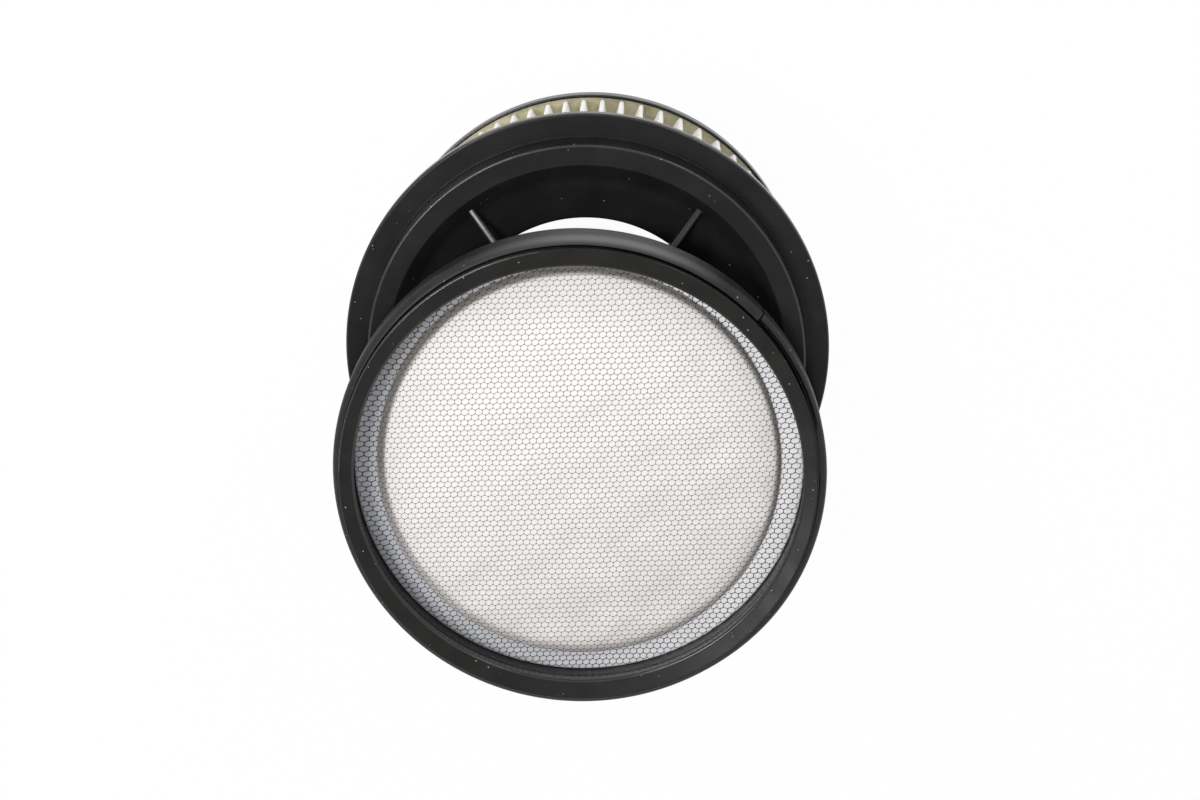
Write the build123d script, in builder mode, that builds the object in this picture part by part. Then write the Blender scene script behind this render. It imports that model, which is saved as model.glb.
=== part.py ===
# Two-stage vacuum cleaner filter: a pleated body standing on its rear ring, and
# the pre-filter cap, taken off and laid on the body's lip, slid to one side.
# Millimetres. Origin on the body's axis, on the surface it stands on, +Z up.

from math import cos, hypot, pi, radians, sin, sqrt
import os

from build123d import *

os.makedirs("parts", exist_ok=True)

# Body, overall
body_height = 39.5             # standing surface to the flange's front face
ring_radius = 41.35            # outside of both end channels
channel_width = 10.35          # outside to inside of an end channel
channel_wall = 1.1             # inner wall of an end channel
channel_rim = 0.6              # outer wall of an end channel

# Front frame
flange_overhang = 3.65         # flange beyond the end channels
flange_thickness = 2.6
flange_edge_round = 0.5
lip_set_in = 0.65              # lip's root inside the end channels' outside
lip_draft = 0.4                # how much narrower the lip is at its top
lip_height = 4.9
lip_land = 3.7                 # width of the flat top of the lip
lip_edge_round = 0.35
bevel_run = 3.1                # steep part of the funnel, radially
bevel_drop = 3.6
bevel_round = 3.0              # hollow between the steep part and the rest
hole_set_in = 5.5              # hole's edge inside the end channels
hole_drop = 0.7                # hole's edge below the flange's front face
hole_wall = 1.6
hole_edge_round = 0.5
front_skirt = 2.2              # end channel's walls below the flange

# Ribs of the funnel
rib_count = 5
rib_first_angle = 308.5
rib_front_gap = 73.6           # degrees between the last rib and the first
rib_thickness = 1.2
rib_set_down = 0.1             # rib's inner end below the top of the lip
rib_fall = 2.6                 # rib's front edge falls this far to its outer end
rib_hollow = 0.2               # sag of the rib's front edge
rib_edge_round = 0.45
rib_root = 1.0                 # how far a rib is rooted in the funnel's wall

# Rear ring
rear_ring_height = 3.6
rear_ring_floor = 1.2
rear_edge_round = 0.9
wall_edge_round = 0.3
rear_potting_depth = 2.0
front_potting_depth = 1.8

# Pleated paper
pleat_count = 64
pleat_clearance = 0.2          # pleat tips to the channel's outer wall
pleat_core_gap = 0.35          # inner folds to the support core
paper_thickness = 0.5          # measured radially, at a fold
fold_half_width = 0.42         # outside of a fold
crease_half_width = 0.14       # inside of a fold
pleat_tip_angle = 271.2
pleat_swing = 2.0              # degrees by which the hand of pleats wanders
pleat_swing_waves = 3
pleat_swing_peak = 230.0       # where the pleats lie widest apart

# Support core
core_wall = 0.9
core_set_back = 0.2            # tube behind the channels' inner faces
core_hoop = 2.2                # height of the closed bands at both ends
core_window_count = 16
core_window_rows = 3
core_bar = 1.5                 # material between windows

# Cap, on the lip
cap_shift_x = 0.55
cap_shift_y = 19.85
cap_height = 10.8
cap_fit = 0.2                  # cap's bore over the lip's root, all round
cap_face = 3.0                 # thickness of the wall at the bore
cap_edge_round = 0.4
cap_bore_draft = 0.4           # bore narrower at the front face
cap_draft_depth = 5.0          # below the face, where the bore is straight again
cap_face_edge = 0.9            # height of the face's rim, over the undercut
cap_undercut = 0.5             # depth of the undercut between face and seal
cap_shelf = 1.9                # thickness of the shelf under the pad
cap_shelf_land = 4.3           # how far the shelf reaches inwards from the bore
cap_foot_inset = 1.5           # cap's foot inside the outer wall
cap_spoke_count = 5
cap_spoke_width = 1.8
cap_hub_radius = 8.0

# Seal strip round the cap
seal_bottom = 3.0              # above the cap's foot
seal_set_down = 1.7            # seal's top below the cap's front face
seal_seat = 0.9                # depth of the groove it sits in
seal_proud = 1.85              # how far it stands out of the cap's wall
seal_round = 1.75
seal_heel_round = 0.4
seal_joint_gap = 0.35
seal_joint_angle = 225.0

# Pad and net
pad_clearance = 0.15           # pad and net to the cap's bore
pad_rim_thickness = 1.1
pad_rim_width = 4.2            # pressed flat rim
pad_rise = 1.6                 # puffed middle above the rim
pad_round = 1.1
net_thickness = 0.3
net_cell = 5.6                 # pitch of the openings
net_strand = 0.9               # strand between openings
net_border = 1.6               # closed border inside the puffed middle

# Places worked out from the sizes above
flange_radius = ring_radius + flange_overhang
lip_radius = ring_radius - lip_set_in
core_radius = ring_radius - channel_width
hole_radius = core_radius - hole_set_in
flange_back = body_height - flange_thickness
lip_top = body_height + lip_height
lip_top_radius = lip_radius - lip_draft
mouth_radius = lip_top_radius - lip_land
crease_radius = mouth_radius - bevel_run
crease_z = lip_top - bevel_drop
hole_z = body_height - hole_drop
skirt_end = flange_back - front_skirt
channel_outer = ring_radius - channel_rim
channel_inner = core_radius + channel_wall
rear_potting_top = rear_ring_floor + rear_potting_depth
front_potting_end = flange_back - front_potting_depth
pleat_outer = channel_outer - pleat_clearance
tube_radius = core_radius + core_set_back
pleat_inner = tube_radius + core_wall + pleat_core_gap
cap_bore = lip_radius + cap_fit
cap_mouth = cap_bore - cap_bore_draft
cap_wall_radius = cap_bore + cap_face
seal_top = cap_height - seal_set_down
pad_radius = cap_bore - pad_clearance
pad_bottom = lip_top + cap_shelf
pad_rim_top = pad_bottom + pad_rim_thickness
crown_radius = pad_radius - pad_rim_width
crown_top = pad_rim_top + pad_rise
cap_axis = Axis((cap_shift_x, cap_shift_y, 0), (0, 0, 1))
cap_section_plane = Plane((cap_shift_x, cap_shift_y, lip_top), x_dir=(1, 0, 0), z_dir=(0, -1, 0))


def corners(sketch, *spots):
    return [sketch.vertices().sort_by_distance(spot)[0] for spot in spots]


def polar(radius, angle):
    return (radius * cos(angle), radius * sin(angle))


# Ribs: thin webs with a hollow, rounded front edge, from the hole to the lip
with BuildPart() as rib:
    rib_inner = hole_radius + hole_edge_round
    rib_outer = mouth_radius + rib_root
    rib_front = lip_top - rib_set_down
    with BuildSketch(Plane.XZ) as rib_outline:
        with BuildLine():
            front_edge = SagittaArc((rib_inner, rib_front), (rib_outer, rib_front - rib_fall), -rib_hollow)
            Polyline(
                front_edge @ 1,
                (rib_outer, crease_z - rib_root),
                (crease_radius, crease_z - rib_root),
                (rib_inner, hole_z - rib_root),
                front_edge @ 0,
            )
        make_face()
    extrude(amount=rib_thickness / 2, both=True)
    fillet(rib.edges().filter_by(GeomType.CIRCLE), rib_edge_round)

# Front frame: flange, lip, funnel and end channel in one moulding
with BuildPart() as front_frame:
    with BuildSketch(Plane.XZ) as frame_section:
        with BuildLine():
            Polyline(
                (flange_radius, flange_back),
                (flange_radius, body_height),
                (lip_radius, body_height),
                (lip_top_radius, lip_top),
                (mouth_radius, lip_top),
                (crease_radius, crease_z),
                (hole_radius, hole_z),
                (hole_radius, hole_z - hole_wall),
                (core_radius, flange_back),
                (core_radius, skirt_end),
                (channel_inner, skirt_end),
                (channel_inner, flange_back),
                (channel_outer, flange_back),
                (channel_outer, skirt_end),
                (ring_radius, skirt_end),
                (ring_radius, flange_back),
                close=True,
            )
        make_face()
        fillet(
            corners(frame_section, (flange_radius, flange_back), (flange_radius, body_height)),
            flange_edge_round,
        )
        fillet(
            corners(frame_section, (lip_top_radius, lip_top), (mouth_radius, lip_top)),
            lip_edge_round,
        )
        fillet(corners(frame_section, (hole_radius, hole_z)), hole_edge_round)
        fillet(corners(frame_section, (crease_radius, crease_z)), bevel_round)
    revolve(axis=Axis.Z)
    rib_span = 360 - rib_front_gap
    with PolarLocations(0, rib_count, start_angle=rib_first_angle, angular_range=rib_span, endpoint=True):
        add(rib.part)
front_frame.part.label = "front_frame"
export_step(front_frame.part, "parts/front_frame.step")

# Front potting: glue bed in the front channel
with BuildPart() as front_potting:
    with BuildSketch(Plane.XY.offset(front_potting_end)):
        Circle(channel_outer)
        Circle(channel_inner, mode=Mode.SUBTRACT)
    extrude(amount=front_potting_depth)
front_potting.part.label = "front_potting"
export_step(front_potting.part, "parts/front_potting.step")

# Rear ring: channel ring with a rounded outer edge
with BuildPart() as rear_ring:
    with BuildSketch(Plane.XZ) as rear_section:
        with BuildLine():
            Polyline(
                (ring_radius, 0),
                (ring_radius, rear_ring_height),
                (channel_outer, rear_ring_height),
                (channel_outer, rear_ring_floor),
                (channel_inner, rear_ring_floor),
                (channel_inner, rear_ring_height),
                (core_radius, rear_ring_height),
                (core_radius, 0),
                close=True,
            )
        make_face()
        fillet(corners(rear_section, (ring_radius, 0)), rear_edge_round)
        fillet(corners(rear_section, (ring_radius, rear_ring_height)), wall_edge_round)
    revolve(axis=Axis.Z)
rear_ring.part.label = "rear_ring"
export_step(rear_ring.part, "parts/rear_ring.step")

# Rear potting: glue bed in the rear channel, in view between the pleats
with BuildPart() as rear_potting:
    with BuildSketch(Plane.XY.offset(rear_ring_floor)):
        Circle(channel_outer)
        Circle(channel_inner, mode=Mode.SUBTRACT)
    extrude(amount=rear_potting_depth)
rear_potting.part.label = "rear_potting"
export_step(rear_potting.part, "parts/rear_potting.step")


# Pleats: fold k sits at an even share of the circle, plus a slow wander
def pleat_angle(k):
    even = radians(pleat_tip_angle) + 2 * pi * k / pleat_count
    wander = sin(pleat_swing_waves * (even - radians(pleat_swing_peak)))
    start = sin(pleat_swing_waves * radians(pleat_tip_angle - pleat_swing_peak))
    return even + radians(pleat_swing) * (wander - start)


def fold_line(tip_radius, tip_half_width, valley_radius, valley_half_width):
    points = []
    for k in range(pleat_count):
        tip = pleat_angle(k)
        valley = (tip + pleat_angle(k + 1)) / 2
        tip_turn = tip_half_width / tip_radius
        valley_turn = valley_half_width / valley_radius
        points += [
            polar(tip_radius, tip - tip_turn),
            polar(tip_radius, tip + tip_turn),
            polar(valley_radius, valley - valley_turn),
            polar(valley_radius, valley + valley_turn),
        ]
    return points


with BuildPart() as pleated_media:
    with BuildSketch(Plane.XY.offset(rear_potting_top)):
        with BuildLine():
            Polyline(
                *fold_line(pleat_outer, fold_half_width,
                           pleat_inner + paper_thickness, crease_half_width),
                close=True,
            )
        make_face()
        with BuildLine():
            Polyline(
                *fold_line(pleat_outer - paper_thickness, crease_half_width,
                           pleat_inner, fold_half_width),
                close=True,
            )
        make_face(mode=Mode.SUBTRACT)
    extrude(amount=front_potting_end - rear_potting_top)
pleated_media.part.label = "pleated_media"
export_step(pleated_media.part, "parts/pleated_media.step")

# Support core: perforated tube between the two channels' inner walls
with BuildPart() as support_core:
    core_length = skirt_end - rear_ring_height
    with BuildSketch(Plane.XY.offset(rear_ring_height)):
        Circle(tube_radius + core_wall)
        Circle(tube_radius, mode=Mode.SUBTRACT)
    extrude(amount=core_length)
    window_pitch = (core_length - 2 * core_hoop + core_bar) / core_window_rows
    window_height = window_pitch - core_bar
    window_width = 2 * pi * tube_radius / core_window_count - core_bar
    for row in range(core_window_rows):
        window_z = rear_ring_height + core_hoop + window_height / 2 + row * window_pitch
        with Locations((0, 0, window_z)):
            with PolarLocations(tube_radius + core_wall / 2, core_window_count):
                Box(3 * core_wall, window_width, window_height, mode=Mode.SUBTRACT)
support_core.part.label = "support_core"
export_step(support_core.part, "parts/support_core.step")

# Cap frame: ring wall, shelf and spokes under the pad, groove for the seal
with BuildPart() as cap_frame:
    shelf_radius = cap_bore - cap_shelf_land
    groove_radius = cap_wall_radius - seal_seat
    with BuildSketch(cap_section_plane) as cap_section:
        with BuildLine():
            Polyline(
                (shelf_radius, 0),
                (cap_wall_radius - cap_foot_inset, 0),
                (cap_wall_radius - cap_foot_inset, seal_bottom - cap_edge_round),
                (cap_wall_radius, seal_bottom - cap_edge_round),
                (cap_wall_radius, seal_bottom),
                (groove_radius, seal_bottom),
                (groove_radius, seal_top),
                (cap_wall_radius - cap_undercut, seal_top),
                (cap_wall_radius - cap_undercut, cap_height - cap_face_edge),
                (cap_wall_radius, cap_height - cap_face_edge),
                (cap_wall_radius, cap_height),
                (cap_mouth, cap_height),
                (cap_bore, cap_height - cap_draft_depth),
                (cap_bore, cap_shelf),
                (shelf_radius, cap_shelf),
                close=True,
            )
        make_face()
        fillet(
            corners(cap_section, (cap_wall_radius, cap_height), (cap_mouth, cap_height)),
            cap_edge_round,
        )
    revolve(axis=cap_axis)
    with BuildSketch(Plane((cap_shift_x, cap_shift_y, lip_top))):
        with PolarLocations(0, cap_spoke_count, start_angle=90):
            Rectangle(shelf_radius + cap_spoke_width / 2, cap_spoke_width, align=(Align.MIN, Align.CENTER))
        Circle(cap_hub_radius)
        Circle(cap_hub_radius - cap_spoke_width, mode=Mode.SUBTRACT)
    extrude(amount=cap_shelf)
cap_frame.part.label = "cap_frame"
export_step(cap_frame.part, "parts/cap_frame.step")

# Cap seal: rubber strip with a rounded shoulder, its ends butted together
with BuildPart() as cap_seal:
    seal_radius = cap_wall_radius + seal_proud
    with BuildSketch(cap_section_plane) as seal_section:
        with BuildLine():
            Polyline(
                (groove_radius, seal_bottom),
                (seal_radius, seal_bottom),
                (seal_radius, seal_top),
                (groove_radius, seal_top),
                close=True,
            )
        make_face()
        fillet(corners(seal_section, (seal_radius, seal_top)), seal_round)
        fillet(corners(seal_section, (seal_radius, seal_bottom)), seal_heel_round)
    revolve(axis=cap_axis)
    joint_reach = seal_radius + seal_proud
    with Locations(Location((cap_shift_x, cap_shift_y, lip_top), (0, 0, seal_joint_angle))):
        Box(
            joint_reach, seal_joint_gap, cap_height,
            align=(Align.MIN, Align.CENTER, Align.MIN), mode=Mode.SUBTRACT,
        )
cap_seal.part.label = "cap_seal"
export_step(cap_seal.part, "parts/cap_seal.step")

# Cap pad: pressed flat rim and a puffed middle with a rounded shoulder
with BuildPart() as cap_pad:
    with BuildSketch(cap_section_plane) as pad_section:
        with BuildLine():
            Polyline(
                (0, cap_shelf),
                (pad_radius, cap_shelf),
                (pad_radius, pad_rim_top - lip_top),
                (crown_radius, pad_rim_top - lip_top),
                (crown_radius, crown_top - lip_top),
                (0, crown_top - lip_top),
                close=True,
            )
        make_face()
        fillet(corners(pad_section, (crown_radius, crown_top - lip_top)), pad_round)
    revolve(axis=cap_axis)
cap_pad.part.label = "cap_pad"
export_step(cap_pad.part, "parts/cap_pad.step")

# Cap net: skin drawn over the pad, pierced by hexagonal openings
with BuildPart() as cap_net:
    net_over_rim = pad_rim_top - lip_top + net_thickness
    net_over_crown = crown_top - lip_top + net_thickness
    net_shoulder = crown_radius + net_thickness
    with BuildSketch(cap_section_plane) as net_section:
        with BuildLine():
            Polyline(
                (0, cap_shelf),
                (pad_radius, cap_shelf),
                (pad_radius, net_over_rim),
                (net_shoulder, net_over_rim),
                (net_shoulder, net_over_crown),
                (0, net_over_crown),
                close=True,
            )
        make_face()
        fillet(corners(net_section, (net_shoulder, net_over_crown)), pad_round + net_thickness)
    revolve(axis=cap_axis)
    add(cap_pad.part, mode=Mode.SUBTRACT)
    opening_radius = (net_cell - net_strand) / sqrt(3)
    reach = crown_radius - pad_round - net_border
    row_pitch = net_cell * sqrt(3) / 2
    rows = int(reach / row_pitch) + 1
    spots = []
    for row in range(-rows, rows + 1):
        for column in range(-rows - 1, rows + 2):
            spot = ((column + (row % 2) / 2) * net_cell, row * row_pitch)
            if hypot(*spot) + opening_radius < reach:
                spots.append(spot)
    with BuildSketch(Plane((cap_shift_x, cap_shift_y, crown_top))):
        with Locations(*spots):
            RegularPolygon(opening_radius, 6, rotation=30)
    extrude(amount=2 * net_thickness, both=True, mode=Mode.SUBTRACT)
cap_net.part.label = "cap_net"
export_step(cap_net.part, "parts/cap_net.step")
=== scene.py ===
import math

import bpy
import numpy as np
from mathutils import Matrix


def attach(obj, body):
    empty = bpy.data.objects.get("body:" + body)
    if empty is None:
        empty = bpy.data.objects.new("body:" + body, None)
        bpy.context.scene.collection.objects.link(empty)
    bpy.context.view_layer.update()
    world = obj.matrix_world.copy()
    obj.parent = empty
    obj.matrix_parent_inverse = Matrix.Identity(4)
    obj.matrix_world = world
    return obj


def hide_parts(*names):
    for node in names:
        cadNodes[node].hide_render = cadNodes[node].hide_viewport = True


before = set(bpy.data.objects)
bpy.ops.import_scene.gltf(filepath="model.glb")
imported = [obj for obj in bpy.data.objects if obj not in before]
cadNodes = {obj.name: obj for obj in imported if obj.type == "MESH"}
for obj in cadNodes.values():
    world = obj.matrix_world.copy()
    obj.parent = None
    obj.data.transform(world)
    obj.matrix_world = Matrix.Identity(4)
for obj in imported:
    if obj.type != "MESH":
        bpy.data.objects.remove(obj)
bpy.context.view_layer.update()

mm = 0.001
print("frame in, CAD pieces:", ", ".join(sorted(cadNodes)))


# Shape tools. Lengths are millimetres until a piece is put into the scene.

# 0 below low, 1 above high, an even S between them
def easeBetween(value, low, high):
    t = np.clip((value - low) / (high - low), 0, 1)
    return t * t * (3 - 2 * t)


# 1 from full to leave, easing to 0 at start and at over
def easeBand(value, start, full, leave, over):
    return easeBetween(value, start, full) * (1 - easeBetween(value, leave, over))


# Plane waves of seeded direction and phase added up, about -1 to 1
def ripple(x, y, wavelength, seed, waves=7):
    draw = np.random.default_rng(seed)
    turn, phase = draw.uniform(0, 2 * np.pi, (2, waves))
    rate = 2 * np.pi / (wavelength * draw.uniform(0.7, 1.4, waves))
    angle = x[..., None] * rate * np.cos(turn) + y[..., None] * rate * np.sin(turn) + phase
    return np.sin(angle).sum(-1) / math.sqrt(waves)


# Rows are corners (across, up, round) of a closed outline. Both edges are cut back by
# round / tan(half the corner) and joined by an arc, with a point held just before and after it.
def roundedOutline(rows, steps=6, hold=0.12):
    rows = np.array(rows, float)
    corner, bend = rows[:, :2], rows[:, 2]
    back = np.roll(corner, 1, 0) - corner
    ahead = np.roll(corner, -1, 0) - corner
    back /= np.linalg.norm(back, axis=1, keepdims=True)
    ahead /= np.linalg.norm(ahead, axis=1, keepdims=True)
    half = np.arccos(np.clip((back * ahead).sum(1), -1, 1)) / 2
    middle = (back + ahead) / np.linalg.norm(back + ahead, axis=1, keepdims=True)
    centre = corner + middle * (bend / np.sin(half))[:, None]
    cut = (bend / np.tan(half))[:, None]
    first, last = corner + back * cut - centre, corner + ahead * cut - centre
    sweep = (math.pi - 2 * half)[:, None, None]
    t = np.linspace(0, 1, steps + 1)[None, :, None]
    arc = (np.sin((1 - t) * sweep) * first[:, None] + np.sin(t * sweep) * last[:, None]) / np.sin(sweep)
    keep = hold * (bend > 0)[:, None, None]
    before = arc[:, :1] + back[:, None] * keep
    after = arc[:, -1:] + ahead[:, None] * keep
    outline = (centre[:, None] + np.concatenate([before, arc, after], 1)).reshape(-1, 2)
    moved = np.linalg.norm(outline - np.roll(outline, 1, 0), axis=1) > 1e-6
    outline = outline[moved]
    nextOne = np.roll(outline, -1, 0)
    area = (outline[:, 0] * nextOne[:, 1] - nextOne[:, 0] * outline[:, 1]).sum()
    return outline if area > 0 else outline[::-1]


# Quad (i, j), (i+1, j), (i+1, j+1), (i, j+1) over a grid that is stored row by row
def gridFaces(rows, columns, wrapRows=False, wrapColumns=False):
    i = np.arange(rows if wrapRows else rows - 1)[:, None]
    j = np.arange(columns if wrapColumns else columns - 1)[None, :]
    nextRow, nextColumn = (i + 1) % rows, (j + 1) % columns
    corners = (i * columns + j, nextRow * columns + j,
               nextRow * columns + nextColumn, i * columns + nextColumn)
    return np.stack(np.broadcast_arrays(*corners), -1).reshape(-1, 4)


# Outline point j at radius r and height z, turned to angle a of row i:
# x = centre x + r cos a, y = centre y + r sin a, z = z. An open turn gets its two end faces.
def turnOutline(outline, segments, centre=(0.0, 0.0), start=0.0, sweep=360.0):
    whole = sweep >= 360
    rows = segments if whole else segments + 1
    angle = np.radians(start + sweep * np.arange(rows) / segments)[:, None]
    radius, height = outline[None, :, 0], outline[None, :, 1]
    grid = np.stack(np.broadcast_arrays(centre[0] + radius * np.cos(angle),
                                        centre[1] + radius * np.sin(angle), height), -1)
    count = len(outline)
    groups = [gridFaces(rows, count, wrapRows=whole, wrapColumns=True)]
    if not whole:
        groups += [np.arange(count)[None, :], ((rows - 1) * count + np.arange(count))[None, ::-1]]
    return grid.reshape(-1, 3), groups


# Station i at distance reach along a spoke: up one flank from foot, over a crest with
# rounded shoulders, down the other flank. The spoke is turned to its angle about a centre.
def bladeOnSpoke(reach, foot, crest, halfWidth, bend, angle, centre=(0.0, 0.0), steps=5):
    quarter = np.linspace(0, np.pi / 2, steps)
    inset = np.concatenate([[0], bend * (1 - np.cos(quarter))])
    drop = np.concatenate([[0], bend * (1 - np.sin(quarter))])
    side = np.concatenate([halfWidth[:, None] - inset, -(halfWidth[:, None] - inset[::-1])], 1)
    shoulder = crest[:, None] - drop[None, 1:]
    height = np.concatenate([foot[:, None], shoulder, shoulder[:, ::-1], foot[:, None]], 1)
    along = np.broadcast_to(reach[:, None], side.shape)
    c, s = math.cos(math.radians(angle)), math.sin(math.radians(angle))
    points = np.stack([centre[0] + along * c - side * s, centre[1] + along * s + side * c, height], -1)
    rows, columns = side.shape
    ends = [np.arange(columns)[None, :], ((rows - 1) * columns + np.arange(columns))[None, ::-1]]
    return points.reshape(-1, 3), [gridFaces(rows, columns, wrapColumns=True)[:, ::-1]] + ends


# Several shapes as one, with their faces numbered on
def gather(*shapes):
    starts = np.cumsum([0] + [len(points) for points, _ in shapes])
    groups = [faces + start for (_, found), start in zip(shapes, starts) for faces in found]
    return np.concatenate([points for points, _ in shapes]), groups


def putPiece(name, shape, finish, covers=(), crisp=32):
    points, groups = shape
    totals = np.concatenate([np.full(len(faces), faces.shape[1]) for faces in groups])
    loops = np.concatenate([faces.ravel() for faces in groups])
    mesh = bpy.data.meshes.new(name)
    mesh.vertices.add(len(points))
    mesh.vertices.foreach_set("co", (points * mm).ravel())
    mesh.loops.add(len(loops))
    mesh.loops.foreach_set("vertex_index", loops.astype(np.int32))
    mesh.polygons.add(len(totals))
    mesh.polygons.foreach_set("loop_start", (np.cumsum(totals) - totals).astype(np.int32))
    mesh.polygons.foreach_set("use_smooth", np.ones(len(totals), bool))
    mesh.update(calc_edges=True)
    mesh.validate()
    mesh.set_sharp_from_angle(angle=math.radians(crisp))
    mesh.materials.append(finish)
    piece = bpy.data.objects.new(name, mesh)
    bpy.context.scene.collection.objects.link(piece)
    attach(piece, "root")
    if covers:
        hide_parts(*covers)
    print(f"{name}: {len(points)} points, {int((totals - 2).sum())} triangles")
    return piece


def paintPoints(piece, name, values):
    layer = piece.data.attributes.new(name, "FLOAT", "POINT")
    layer.data.foreach_set("value", values.astype(np.float32))


# Finishes. All patterns read Object coordinates, so a scale of 1000 is a pattern of about 1 mm.

def addNode(tree, kind, sockets=(), **settings):
    node = tree.nodes.new(kind)
    for key, value in settings.items():
        setattr(node, key, value)
    for key, value in dict(sockets).items():
        if isinstance(value, bpy.types.NodeSocket):
            tree.links.new(value, node.inputs[key])
        else:
            node.inputs[key].default_value = value
    return node


def startFinish(name, **sockets):
    finish = bpy.data.materials.new(name)
    finish.use_nodes = True
    tree = finish.node_tree
    shader = tree.nodes["Principled BSDF"]
    for key, value in sockets.items():
        shader.inputs[key.replace("_", " ")].default_value = value
    place = addNode(tree, "ShaderNodeTexCoord").outputs["Object"]
    return finish, tree, shader, place


def noiseAt(tree, place, scale, detail=3.0, rough=0.55):
    sockets = {"Vector": place, "Scale": scale, "Detail": detail, "Roughness": rough}
    return addNode(tree, "ShaderNodeTexNoise", sockets).outputs["Fac"]


def spread(tree, value, low, high, newLow, newHigh):
    sockets = {"Value": value, "From Min": low, "From Max": high, "To Min": newLow, "To Max": newHigh}
    return addNode(tree, "ShaderNodeMapRange", sockets).outputs["Result"]


def blendColour(tree, amount, low, high):
    node = addNode(tree, "ShaderNodeMix", data_type="RGBA")
    for index, value in ((0, amount), (6, low), (7, high)):
        if isinstance(value, bpy.types.NodeSocket):
            tree.links.new(value, node.inputs[index])
        else:
            node.inputs[index].default_value = value
    return node.outputs[2]


def product(tree, first, second, operation="MULTIPLY"):
    sockets = {0: first, 1: second}
    return addNode(tree, "ShaderNodeMath", sockets, operation=operation, use_clamp=True).outputs[0]


def painted(tree, name):
    return addNode(tree, "ShaderNodeAttribute", attribute_name=name).outputs["Fac"]


def addBump(tree, shader, height, strength, depth):
    sockets = {"Height": height, "Strength": strength, "Distance": depth}
    tree.links.new(addNode(tree, "ShaderNodeBump", sockets).outputs["Normal"], shader.inputs["Normal"])


# Moulded black plastic: cloudy tone, fine spark grain, pale dust grains that have settled on it, smoother
# and glossier where it is painted as rubbed, paler where a painted reflection is laid on it
def mouldedPlastic(name, look):
    finish, tree, shader, place = startFinish(name)
    rubbed = painted(tree, "rubbed")
    gloss = spread(tree, rubbed, 0, 1, look["gloss"], look["edgeGloss"])
    tree.links.new(gloss, shader.inputs["Specular IOR Level"])
    painted_reflection = painted(tree, "painted_reflection")
    cloud = noiseAt(tree, place, look["cloud"], 4.0)
    grain = noiseAt(tree, place, look["grain"], 2.0)
    cells = addNode(tree, "ShaderNodeTexVoronoi", {"Vector": place, "Scale": look["dustScale"]})
    pick = addNode(tree, "ShaderNodeSeparateColor", {"Color": cells.outputs["Color"]})
    size = spread(tree, pick.outputs["Green"], 0, 1, look["dustLeast"], look["dustSize"])
    near = product(tree, cells.outputs["Distance"], size, "LESS_THAN")
    dust = product(tree, near, product(tree, pick.outputs["Red"], 1 - look["dustShare"], "GREATER_THAN"))
    dull = spread(tree, cloud, *look["cloudEnds"], 0, 1)
    body = blendColour(tree, dull, look["deep"], look["pale"])
    # Painted reflection: the tone is blended towards a pale grey by the painted share
    body = blendColour(tree, painted_reflection, body, look["reflectionTone"])
    tree.links.new(blendColour(tree, dust, body, look["dust"]), shader.inputs["Base Color"])
    roughLow, roughHigh = look["rough"] - look["roughDown"], look["rough"] + look["roughUp"]
    rough = spread(tree, cloud, *look["cloudEnds"], roughLow, roughHigh)
    tree.links.new(product(tree, rough, dust, "ADD"), shader.inputs["Roughness"])
    addBump(tree, shader, grain, spread(tree, rubbed, 0, 1, look["bump"], look["rubbedBump"]), look["depth"])
    return finish


framePlasticLook = {
    "deep": (0.0105, 0.0107, 0.0112, 1), "pale": (0.0150, 0.0151, 0.0157, 1), "gloss": 0.09,
    "edgeGloss": 0.45, "rough": 0.25, "roughDown": 0.05, "roughUp": 0.06, "reflectionTone": (0.13, 0.13, 0.135, 1),
    "cloud": 160.0, "cloudEnds": (0.3, 0.7), "grain": 5200.0, "bump": 0.06, "rubbedBump": 0.01,
    "depth": 0.00004, "dust": (0.36, 0.36, 0.35, 1), "dustScale": 900.0, "dustSize": 0.12, "dustLeast": 0.042,
    "dustShare": 0.12,
}
capPlasticLook = dict(framePlasticLook, deep=(0.0112, 0.0109, 0.0102, 1), pale=(0.0155, 0.0150, 0.0140, 1),
                      gloss=0.12, rough=0.18, dustShare=0.34)
sealRubberLook = dict(framePlasticLook, deep=(0.015, 0.015, 0.0152, 1), pale=(0.024, 0.024, 0.0242, 1),
                      gloss=0.15, edgeGloss=0.15, rough=0.44, cloud=420.0, grain=2600.0, bump=0.16,
                      dustShare=0.26)
framePlastic = mouldedPlastic("black_frame_plastic", framePlasticLook)
capPlastic = mouldedPlastic("black_cap_plastic", capPlasticLook)
sealRubber = mouldedPlastic("dull_seal_rubber", sealRubberLook)


# Pleated paper: felted fibres, a little yellow in the cloudy places
def pleatPaper():
    look = {"clean": (0.90, 0.89, 0.87, 1), "aged": (0.80, 0.77, 0.70, 1), "agedShare": 0.6, "fibre": 2400.0,
            "cloud": 260.0, "cloudEnds": (0.45, 0.75), "bump": 0.35, "depth": 0.00008}
    finish, tree, shader, place = startFinish("white_pleat_paper", Roughness=0.92, Specular_IOR_Level=0.15)
    cloud = spread(tree, noiseAt(tree, place, look["cloud"], 4.0), *look["cloudEnds"], 0, look["agedShare"])
    tree.links.new(blendColour(tree, cloud, look["clean"], look["aged"]), shader.inputs["Base Color"])
    addBump(tree, shader, noiseAt(tree, place, look["fibre"], 5.0, 0.7), look["bump"], look["depth"])
    return finish


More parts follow.
